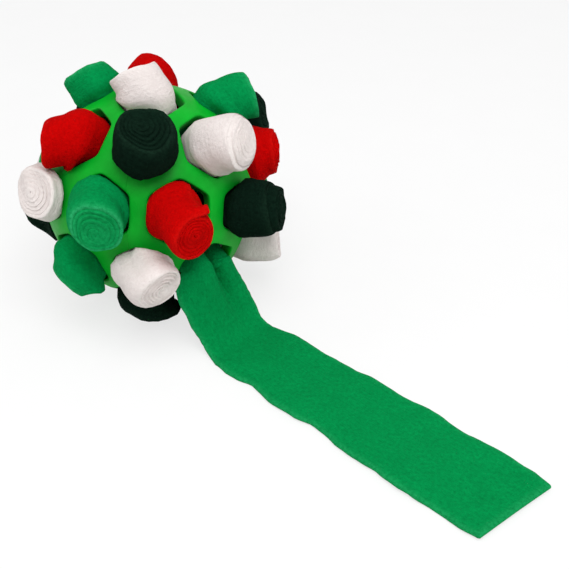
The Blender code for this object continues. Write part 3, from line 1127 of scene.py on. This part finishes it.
    def place(self, angle: np.ndarray, out: np.ndarray, height: np.ndarray) -> np.ndarray:
        """Return points in the model's frame for places in the bent roll.

        Args:
            angle: angles in the hole's frame.
            out: distances from the roll's middle.
            height: heights along the roll above the ball.

        Returns:
            Positions, squashed flat where the roll stands on the floor.
        """
        begin = self.bend_start
        top = self.style.bend_end or self.style.stand_out
        along = np.clip(height - begin, 0, top - begin)
        past = np.maximum(height - top, 0)
        side_out = np.zeros_like(height)
        axial = np.where(height < begin, height, begin + along)
        bend = np.zeros_like(height)
        if self.lean > self.least_lean:
            bend = self.lean * along / (top - begin)
            arc = (top - begin) / self.lean
            side_out = arc * (1 - np.cos(bend))
            axial = np.where(height < begin, height, begin + arc * np.sin(bend))
        near, across = out * np.cos(angle - self.toward), out * np.sin(angle - self.toward)
        lean_way = side_out + near * np.cos(bend) + past * np.sin(bend)
        axial = axial - near * np.sin(bend) + past * np.cos(bend)
        x = lean_way * math.cos(self.toward) - across * math.sin(self.toward)
        y = lean_way * math.sin(self.toward) + across * math.cos(self.toward)
        x = x + self.moved(height) * math.cos(self.shift_toward)
        y = y + self.moved(height) * math.sin(self.shift_toward)
        local = np.stack((x, y, axial + self.ball.radius), axis=-1)
        world = local @ np.array(self.frame).T + np.array(self.ball.centre)
        return self.stand(world) if self.style.on_floor else world

    def stand(self, world: np.ndarray) -> np.ndarray:
        """Squash the lowest stretch of the roll onto the floor.

        Args:
            world: the roll's points.

        Returns:
            The points, none lower than half the cloth's thickness.
        """
        top, least = self.squash_height, self.thickness / 2
        height = world[..., 2]
        lowest = min(height.min() - least, 0)
        squashed = top - (top - height) * (top - least) / (top - least - lowest)
        world[..., 2] = np.where(height < top, squashed, height)
        return world

    def build(self) -> bpy.types.Object:
        """Wind the strip.

        Returns:
            The roll as one closed piece.
        """
        style = self.style
        count = int(self.turns * self.columns_per_turn)
        wound = np.linspace(0, self.turns * math.tau, count + 1)
        share = 1 - (1 - self.core_radius / self.radius) * wound / wound[-1]
        angle = self.seam + style.turn.value * wound
        angles, nominal = np.meshgrid(angle, self.stations(), indexing="ij")
        shares = np.broadcast_to(share[:, None], angles.shape)
        height = nominal + self.end_height(angles, shares) * smooth(nominal / style.stand_out)
        reach = self.reach(angles, nominal)
        reach = reach * (1 + self.wrinkles(angles, nominal))
        # The strip's outer end is thin and sunk, and flares out where it is loose
        loose = smooth((nominal - style.stand_out + self.tab_depth) / self.tab_rise) * (style.tab > 0)
        free = np.exp(-(wound / self.free_span) ** 2)[:, None]
        flare = 1 / np.cos(np.maximum(self.tab_span - wound, 0)) - 1
        flare = (flare / (1 / math.cos(self.tab_span) - 1))[:, None]
        out = (reach - self.pitch / 2) * shares
        out = out + style.tab * loose * flare - self.free_sink * self.pitch * free * (1 - loose)
        middle = self.place(*self.off_centre(angles, out, shares), height)
        inside = self.place(*self.off_centre(angles, out - self.probe, shares), height)
        outward = self.normals(middle, middle - inside)
        # Cloth is thinner where its hole squeezes it or the core is near, and fuller where turns touch
        press = self.pressing(wound)
        pile = (self.pile_share + self.pile_pressed * press[:, None]) * (1 + self.pile_soft * style.soft)
        half = self.pitch / 2 * np.minimum(reach / self.radius, 1) * pile
        half = half * (1 - style.core * np.cos(angles - self.core_toward))
        half = half * (1 - self.free_thin * free * (1 - loose))
        lengths = np.concatenate(([0], np.cumsum(np.diff(wound) * share[1:] * self.radius)))
        widths = nominal[0] - nominal[0, 0]
        # The cut edge on the outermost turn is rounder and more worn than those inside
        inner = smooth(wound / math.tau - self.outer_turns)
        depth = self.edge_depth * (1 - self.press_flat * press * inner) * (1 - style.soft * inner)
        slant = self.end_slope(angle, share) * style.soft
        wear = 1 - (1 - self.inner_wear) * inner
        return Cloth().piece("fleece_" + self.body, middle, outward, half, lengths, widths, wear,
                             depth=depth, slant=slant, crisp=style.soft > self.crisp_soft)

    def end_slope(self, angle: np.ndarray, share: np.ndarray) -> np.ndarray:
        """Return how steeply the roll's end rises outward at each place along the winding.

        Args:
            angle: angles in the hole's frame.
            share: distances from the roll's middle, as shares of its radius.

        Returns:
            Rises for each metre outward, measured over one turn.
        """
        half_turn = 0.5 / self.turns
        within, beyond = np.maximum(share - half_turn, 0), share + half_turn
        rise = self.end_height(angle, beyond) - self.end_height(angle, within)
        return rise / ((beyond - within) * self.radius)

    def off_centre(self, angle: np.ndarray, out: np.ndarray, share: np.ndarray) -> tuple:
        """Move the winding's core off the roll's middle.

        Args:
            angle: angles in the hole's frame.
            out: distances from the roll's middle.
            share: those distances as shares of the roll's radius.

        Returns:
            The new angles and distances.
        """
        slide = self.style.core * self.radius * (1 - share)
        x = out * np.cos(angle) + slide * math.cos(self.core_toward)
        y = out * np.sin(angle) + slide * math.sin(self.core_toward)
        return np.arctan2(y, x), np.hypot(x, y)

    def pressing(self, wound: np.ndarray) -> np.ndarray:
        """Return, from 0 to 1, how far each stretch of the winding is pressed into the turn beside it."""
        waves = self.waves(Waves.PRESSING, wound, self.press_radius, wound * self.press_rise, self.press_wave)
        return smooth(0.5 + self.press_gain * waves)

    def normals(self, middle: np.ndarray, outside: np.ndarray) -> np.ndarray:
        """Return the unit normals of a grid of points.

        Args:
            middle: the points.
            outside: directions that point away from the roll's middle.

        Returns:
            The normals, on the side that faces away from the roll's middle.
        """
        facing = unit(np.cross(np.gradient(middle, axis=0), np.gradient(middle, axis=1)))
        side = np.sign((facing * outside).sum(axis=-1, keepdims=True))
        return facing * np.where(side == 0, 1, side)

    def dress(self, finish: bpy.types.Material) -> None:
        """Build the roll, give it its fleece and put it on its own body.

        Args:
            finish: the fleece of its colour.
        """
        made = self.build()
        made.data.materials.append(finish)
        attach(made, self.body)
        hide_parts(self.body)
        log.info("%s: %.1f turns", made.name, self.turns)


G, D, R, W = FleeceColour.GREEN, FleeceColour.DARK_GREEN, FleeceColour.RED, FleeceColour.WHITE
ROLL_STYLES = {
    "roll_crown": RollStyle(W, 0.0138, 47, 303, 0.88, 0.0044, 215, seat_fill=1.2, tuck=0.06, rim_round=0.004,
                            bulge=0, end_tilt=10, end_toward=240, soft=1, wrinkle=0.006, bend_end=0.010),
    "roll_upper_1": RollStyle(D, 0.0196, 33, 12, 1.02, 0.0033, 145, seat_fill=1.15, cone=0.001,
                              end_tilt=12, end_toward=335, soft=0.5),
    "roll_upper_2": RollStyle(W, 0.0192, 36, 172, 0.96, 0.0028, 240, step=0.0012, dome=0.0026, tuck=0.03,
                              end_tilt=9, end_toward=214, soft=1, wrinkle=0.02),
    "roll_upper_3": RollStyle(G, 0.0202, 60, 195, 0.85, 0.0043, 215, seat_fill=1.3, tuck=0.06,
                              end_tilt=16, end_toward=194, bulge=0.05, wrinkle=0.008),
    "roll_upper_4": RollStyle(R, 0.0097, 70, 116, 0.88, 0.0046, 108, end_tilt=11, end_toward=40),
    "roll_upper_5": RollStyle(G, 0.0136, 18, 177, 0.87, 0.0015, 321, tuck=0.10, end_tilt=12, end_toward=126),
    "roll_upper_6": RollStyle(R, 0.0158, 61, 201, 0.82, 0.0046, 143, seat_fill=1.45, bend_end=0.0095,
                              tuck=0.10, end_tilt=18, end_toward=135, bulge=0.03, wrinkle=0.006),
    "roll_shoulder_1": RollStyle(R, 0.0247, 37, 162, 0.845, 0.0036, 309, seat_fill=1.3, seam=35, tab=0.0028,
                                 soft=0.5, end_tilt=13, end_toward=193, turn=Turn.ANTICLOCKWISE, bulge=0.02),
    "roll_shoulder_2": RollStyle(D, 0.0178, 22, 82, 0.98, 0.0015, 28, step=0.004),
    "roll_shoulder_3": RollStyle(R, 0.0131, 14, 214, 0.85, 0.0029, 28, seat_fill=1.35, cone=0.0015,
                                 tuck=0.08, wrinkle=0.015),
    "roll_shoulder_4": RollStyle(D, 0.0243, 53, 268, 0.89, 0.0029, 222, end_tilt=6, end_toward=190,
                                 wrinkle=0.015),
    "roll_shoulder_5": RollStyle(W, 0.0162, 10, 200, seat_fill=1.3),
    "roll_shoulder_6": RollStyle(D, 0.0150, 35, 280, 0.88, 0.0010, 270, seat_fill=1.35),
    "roll_shoulder_7": RollStyle(G, 0.0020, 0, 0, 0.86, 0.0010, 300, seat_fill=1.4),
    "roll_shoulder_8": RollStyle(W, 0.0120, 44, 63, 0.90, 0.0036, 38, end_tilt=14, end_toward=58, soft=1,
                                 dome=0.0008, tuck=0.05, bulge=0.08),
    "roll_shoulder_9": RollStyle(G, 0.0228, 54, 120, 0.88, 0.0030, 55, seat_fill=1.3, end_tilt=22,
                                 end_toward=128, core=0.28, core_toward=200, soft=0.7),
    "roll_belly_1": RollStyle(W, 0.0212, 59, 78, 0.905, 0.0044, 48, seat_fill=1.3, tuck=0.3, end_tilt=18,
                              end_toward=50, soft=1, pucker=330),
    "roll_belly_3": RollStyle(W, 0.0157, 38, 12, 0.95, 0.0004, 34, end_tilt=4, end_toward=20),
    "roll_belly_4": RollStyle(G, 0.0085, 50, 100, 0.80, 0.0030, 110, seat_fill=1.4),
    "roll_belly_5": RollStyle(R, 0.0162, 10, 180, seat_fill=1.3),
    "roll_belly_6": RollStyle(G, 0.018, 15, 200, seat_fill=1.3),
    "roll_belly_7": RollStyle(W, 0.0171, 10, 90, seat_fill=1.3),
    "roll_belly_8": RollStyle(D, 0.0071, 42, 55, 0.82, 0.0050, 332, end_tilt=20, end_toward=314,
                              seat_fill=1.5),
    "roll_belly_9": RollStyle(G, 0.0116, 30, 222, 0.88, 0.0050, 89, seat_fill=1.5, bend_end=0.004,
                              bulge=0.05, tuck=0.2, rim_round=0.007, wrinkle=0.015),
    "roll_lower_1": RollStyle(D, 0.0066, 38, 234, 1.01, 0.0052, 100, end_tilt=-18, end_toward=119,
                              seat_fill=1.3, bend_end=0.004, bulge=0.08, on_floor=True),
    "roll_lower_2": RollStyle(R, 0.0095, seat_fill=1.3, on_floor=True),
    "roll_lower_3": RollStyle(D, 0.0110, 30, 90, 0.86, seat_fill=1.3, on_floor=True),
    "roll_lower_4": RollStyle(W, 0.0152, seat_fill=1.3, on_floor=True),
    "roll_lower_5": RollStyle(R, 0.0218, seat_fill=1.3, on_floor=True),
    "roll_lower_6": RollStyle(W, 0.0045, 70, 290, 0.74, 0.0045, 280),
    "roll_foot": RollStyle(G, 0.0057, seat_fill=1.3, on_floor=True, square_end=True),
}


@dataclass
class PulledStrip:
    """The fleece strip that is pulled out of its hole and laid along the floor."""

    ball: Lattice
    width: float = 0.045
    thickness: float = 0.0023
    direction: float = math.radians(-44)
    side_shift: float = -0.0055
    landing: float = 0.074
    flap: float = 0.162
    fold: float = 0.081
    split: float = 0.040
    hinge_reach: float = 0.012
    inner_distance: float = 0.034
    lift: float = 0.0045
    lead_out: float = 0.003
    lead_in: float = 0.018
    neck_rows: int = 28
    curl_radius: float = 0.013
    curl_length: float = 0.042
    pleat: float = 0.0040
    pleat_until: float = 0.25
    swell_height: float = 0.7
    swell_middle: float = -0.30
    swell_spread: float = 0.42
    valley_depth: float = 1.6
    valley_start: float = 0.30
    valley_drift: float = 0.15
    valley_spread: float = 0.19
    flank_drop: float = 0.7
    flank_spread: float = 0.4
    flank_start: float = 0.4
    side_drop: float = 0.35
    right_neck: tuple = (0.61, 0.64, 0.68, 0.72, 0.80, 0.85, 0.89, 0.895, 0.845, 0.84)
    left_neck: tuple = (0.60, 0.72, 0.84, 0.90, 0.905, 0.86, 0.855, 0.815, 0.815, 0.86)
    right_edge: tuple = (0.85, 0.91, 0.935, 0.91, 0.905, 0.955, 0.978, 0.955, 1.01, 1.01, 1.015, 1.027,
                         1.08, 1.065, 1.01, 1.02, 1.06, 1.08, 1.055, 1.03, 0.94)
    left_edge: tuple = (0.92, 0.955, 0.965, 0.87, 0.94, 1.01, 1.0, 1.0, 0.90, 0.905, 0.99, 1.027,
                        1.032, 0.998, 1.055, 1.055, 1.048, 1.0, 1.004, 1.035, 1.01)
    edge_wander: float = 0.008
    edge_wave: float = 0.05
    edge_seed: int = 41
    edge_places: tuple = (2.0, 5.0)
    end_skew_share: float = 0.13
    end_skew_start: float = 1.5
    wave_height: float = 0.0006
    wave_length: float = 1.4
    wave_seed: int = 17
    wave_across: float = 0.5
    wave_along: float = 6
    wave_start: float = 8
    wear: float = 0.4
    row_step: float = 0.0028
    columns: int = 25

    def __post_init__(self) -> None:
        """Find the strip's directions along and across the floor."""
        self.along = Vector((math.cos(self.direction), math.sin(self.direction), 0))
        self.across = UP.cross(self.along)
        self.hole = self.ball.open_hole
        self.land = self.along * self.landing + self.across * self.side_shift + UP * self.thickness / 2

    def centre_line(self) -> list:
        """Return points along the strip's middle, each with its sideways direction and a progress value.

        Returns:
            Tuples of point, direction across, and progress: below 0 inside the ball, 0 to 1 down the
            neck, and above 1 on the floor.
        """
        axis = self.hole.axis
        lift_way = (UP - axis * axis.z).normalized()
        sideways = lift_way.cross(axis).normalized()
        lift = lift_way * self.lift
        inside = self.ball.centre + axis * self.inner_distance + lift * self.inner_distance / self.ball.radius
        leave = self.ball.centre + axis * self.ball.radius + lift
        curl_centre = inside - lift_way * self.curl_radius
        line = []
        count = round(self.curl_length / self.row_step)
        for i in range(count):
            left = 1 - i / count
            turn = self.curl_length / self.curl_radius * left
            spoke = lift_way * math.cos(turn) - axis * math.sin(turn)
            line.append((curl_centre + spoke * self.curl_radius, sideways, -1 - left))
        count = round((leave - inside).length / self.row_step)
        line += [(inside.lerp(leave, i / count), sideways, -1 + i / count) for i in range(count)]
        controls = [leave, leave + axis * self.lead_out, self.land - self.along * self.lead_in, self.land]
        for i in range(self.neck_rows + 1):
            t = i / self.neck_rows
            u = 1 - t
            weights = (u * u * u, 3 * u * u * t, 3 * u * t * t, t * t * t)
            point = sum((weight * control for weight, control in zip(weights, controls)), Vector())
            line.append((point, sideways.lerp(self.across, float(smooth(t))).normalized(), t))
        count = round(self.flap / self.row_step)
        line += [(self.land + self.along * self.flap * i / count, self.across, 1 + i / count)
                 for i in range(1, count + 1)]
        return line

    def edge_share(self, progress: float, right: bool) -> float:
        """Return how far the hand-cut edge lies from the middle.

        Args:
            progress: the place along the strip, as centre_line gives it.
            right: whether it is the right edge.

        Returns:
            The distance as a share of half the strip's width.
        """
        neck, edge = (self.right_neck, self.right_edge) if right else (self.left_neck, self.left_edge)
        steps = np.concatenate((np.arange(len(neck)) / len(neck), np.linspace(1, 2, len(edge))))
        share = float(np.interp(progress, steps, neck + edge))
        place = np.array([progress, self.edge_places[right], 0.0])
        wander = self.edge_wander * ripple(place, self.edge_wave, self.edge_seed)
        return share + float(wander * smooth(progress * 2))

    def build_grid(self) -> tuple:
        """Lay the strip's points along its middle line.

        Returns:
            Its middle surface, the normals there and the rows' distances along it.
        """
        line = self.centre_line()
        rows = []
        across = np.linspace(-1, 1, self.columns)
        for i, (point, way, progress) in enumerate(line):
            before, after = line[max(i - 1, 0)][0], line[min(i + 1, len(line) - 1)][0]
            facing = (after - before).cross(way).normalized()
            left, right = self.edge_share(progress, False), self.edge_share(progress, True)
            side = across * self.width / 2 * np.where(across > 0, right, left)
            turned = float(smooth((progress - self.end_skew_start) / (2 - self.end_skew_start)))
            skew = self.end_skew_share * self.width / 2 * across * turned
            flattened = smooth((progress - self.pleat_until) / (1 - self.pleat_until))
            rise = self.pleat * float(1 - flattened) * self.pleat_shape(across, max(progress, 0))
            if progress > 1:
                rise = rise + self.floor_waves(progress, across)
            spot = np.array(point) + np.outer(side, np.array(way)) + np.outer(rise, np.array(facing))
            rows.append(spot + np.outer(skew, np.array(self.along)))
        middle = np.stack(rows)
        steps = np.linalg.norm(np.diff(middle[:, self.columns // 2], axis=0), axis=1)
        lengths = np.concatenate(([0], np.cumsum(steps)))
        return middle, unit(np.cross(np.gradient(middle, axis=0), np.gradient(middle, axis=1))), lengths

    def pleat_shape(self, rightward: np.ndarray, progress: float) -> np.ndarray:
        """Return the neck's folds: a broad swell on the left, then a valley that drifts to the right.

        Args:
            rightward: places across the strip, from -1 at its left edge to 1.
            progress: the place along the neck, from 0 at the hole to 1.

        Returns:
            Heights, where 1 is a fold's full height.
        """
        swell = self.swell_height * np.exp(-((rightward - self.swell_middle) / self.swell_spread) ** 2)
        past = rightward - (self.valley_start + self.valley_drift * progress)
        valley = self.valley_depth * np.exp(-(past / self.valley_spread) ** 2)
        flank = self.flank_drop * smooth(past / self.flank_spread + self.flank_start)
        return swell - valley - flank - self.side_drop * np.abs(rightward) ** 3

    def floor_waves(self, progress: float, across: np.ndarray) -> np.ndarray:
        """Return how far the cloth lifts off the floor in soft low waves.

        Args:
            progress: the place along the strip, from 1 where it lands to 2 at its end.
            across: places across it, from -1 to 1.

        Returns:
            Heights above the floor.
        """
        along = across * 0 + progress * self.wave_along
        place = np.stack((across * self.wave_across, along, across * 0), axis=-1)
        waves = 1 + ripple(place, self.wave_length, self.wave_seed)
        return self.wave_height * waves * smooth((progress - 1) * self.wave_start)

    def dress(self, finish: bpy.types.Material) -> None:
        """Build the strip's two lengths, give them their fleece and hide the model's own strip.

        Args:
            finish: the green fleece.
        """
        middle, facing, lengths = self.build_grid()
        distance = (middle[:, self.columns // 2] - np.array(self.land)) @ np.array(self.along)
        cut = int(np.argmin(np.abs(distance - self.split)))
        widths = np.linspace(0, self.width, self.columns)
        pieces = []
        for name, rows, ends, held, rests in (
                ("fleece_strip_neck", slice(0, cut + 1), (True, False), "gathered", ["rubber_lattice"]),
                ("fleece_strip_end", slice(cut, None), (False, True), "laid", [])):
            half = np.full(middle[rows].shape[:2], self.thickness / 2)
            wear = np.full(len(lengths[rows]), self.wear)
            made = Cloth().piece(name, middle[rows], facing[rows], half, lengths[rows], widths, wear, ends)
            made.data.materials.append(finish)
            reach = float(lengths[rows][-1] - lengths[rows][0])
            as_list(rests)
            log.info("%s: %.0f mm long", name, reach / MILLI)
            pieces.append(made)
        neck, end = pieces
        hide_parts("strip_neck", "strip_flap")
        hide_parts("strip_free_end")
        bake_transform(neck)
        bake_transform(end)


@dataclass(frozen=True)
class Lamp:
    """One soft square lamp that faces the ball."""

    name: str
    place: tuple
    size: float
    power: float
    aim: tuple = (0.03, 0, 0.06)

    def hang(self) -> None:
        """Hang the lamp at its place."""
        data = bpy.data.lights.new(self.name, "AREA")
        data.size = self.size
        data.energy = self.power
        made = put_in_scene(self.name, data)
        made.location = self.place
        way = Vector(self.aim) - Vector(self.place)
        made.rotation_euler = way.to_track_quat("-Z", "Y").to_euler()


@dataclass
class Studio:
    """A plain pale floor, soft light and the camera."""

    camera_place: tuple = (0.06926, -0.45652, 0.31936)
    camera_down: float = math.radians(35)
    focal_pixels: float = 1000
    frame_pixels: float = 569
    sensor: float = 36
    nearest: float = 0.01
    world_strength: float = 0.54
    floor_size: float = 6
    floor_tones: tuple = ((0.80, 0.80, 0.80), (0.82, 0.82, 0.82))
    floor_clouds: float = 30
    floor_range: tuple = (0.3, 0.7)
    floor_roughness: float = 0.9
    floor_glow: float = 0.72
    lamps: tuple = (
        Lamp("key", (0.16, -0.52, 1.05), 0.8, 10.5),
        Lamp("fill", (-0.9, -0.2, 0.75), 0.8, 2.2),
        Lamp("side", (0.9, -0.25, 0.22), 0.6, 1.2),
    )

    def build(self) -> None:
        """Build the floor, world, lamps and camera."""
        self.floor()
        self.world()
        for lamp in self.lamps:
            lamp.hang()
        self.camera()
        log.info("studio ready")

    def floor(self) -> None:
        """Lay the floor, which looks near white to the camera and keeps the toy's shadow."""
        mesh = bpy.data.meshes.new("floor")
        reach = self.floor_size / 2
        corners = [(-reach, -reach, 0), (reach, -reach, 0), (reach, reach, 0), (-reach, reach, 0)]
        mesh.from_pydata(corners, [], [(0, 1, 2, 3)])
        made = put_in_scene("floor", mesh)
        sketch = NodeSketch("floor_paper")
        place = sketch.add("ShaderNodeTexCoord").outputs["Object"]
        cloud = sketch.noise(place, self.floor_clouds, detail=2)
        tone = sketch.remap(cloud, *self.floor_range, 0, 1)
        sketch.link(sketch.mix(tone, *self.floor_tones), sketch.shader.inputs["Base Color"])
        fill(sketch.shader, Roughness=self.floor_roughness)
        glow = sketch.add("ShaderNodeEmission")
        seen = sketch.add("ShaderNodeLightPath").outputs["Is Camera Ray"]
        blend = sketch.add("ShaderNodeMixShader")
        sketch.link(sketch.math("MULTIPLY", seen, self.floor_glow), blend.inputs[0])
        sketch.link(sketch.shader.outputs[0], blend.inputs[1])
        sketch.link(glow.outputs[0], blend.inputs[2])
        sketch.link(blend.outputs[0], sketch.tree.nodes["Material Output"].inputs["Surface"])
        made.data.materials.append(sketch.material)

    def world(self) -> None:
        """Make a white surround: full white to the camera, in gloss and through glass, softer as a light."""
        world = bpy.data.worlds.new("studio")
        bpy.context.scene.world = world
        world.use_nodes = True
        tree = world.node_tree
        shade = tree.nodes["Background"]
        white = tree.nodes.new("ShaderNodeBackground")
        fill(shade, Color=(1, 1, 1, 1), Strength=self.world_strength)
        fill(white, Color=(1, 1, 1, 1))
        path = tree.nodes.new("ShaderNodeLightPath")
        seen = path.outputs["Is Camera Ray"]
        for kind in ("Is Transmission Ray", "Is Glossy Ray"):
            either = tree.nodes.new("ShaderNodeMath")
            either.operation = "MAXIMUM"
            tree.links.new(seen, either.inputs[0])
            tree.links.new(path.outputs[kind], either.inputs[1])
            seen = either.outputs[0]
        blend = tree.nodes.new("ShaderNodeMixShader")
        for source, socket in zip((seen, shade.outputs[0], white.outputs[0]), blend.inputs):
            tree.links.new(source, socket)
        tree.links.new(blend.outputs[0], tree.nodes["World Output"].inputs["Surface"])

    def camera(self) -> None:
        """Set the camera at the photo's viewing angle."""
        data = bpy.data.cameras.new("camera")
        data.sensor_width = self.sensor
        data.lens = self.focal_pixels / self.frame_pixels * self.sensor
        data.clip_start = self.nearest
        made = put_in_scene("camera", data)
        made.location = self.camera_place
        made.rotation_euler = (math.pi / 2 - self.camera_down, 0, 0)
        bpy.context.scene.camera = made
        bpy.context.scene.view_settings.view_transform = "Standard"


def main() -> None:
    """Build the toy around the frame, then the studio."""
    logging.basicConfig(level=logging.INFO, format="%(name)s: %(message)s")
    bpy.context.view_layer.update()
    ball = Lattice()
    ball.dress()
    finishes = {colour: finish.make() for colour, finish in FLEECES.items()}
    for number, (body, style) in enumerate(ROLL_STYLES.items()):
        style.seed = number + 1
        WoundRoll(body, ball.by_body[body], ball, style).dress(finishes[style.colour])
    PulledStrip(ball).dress(finishes[FleeceColour.GREEN])
    Studio().build()


if __name__ == "__main__":
    main()
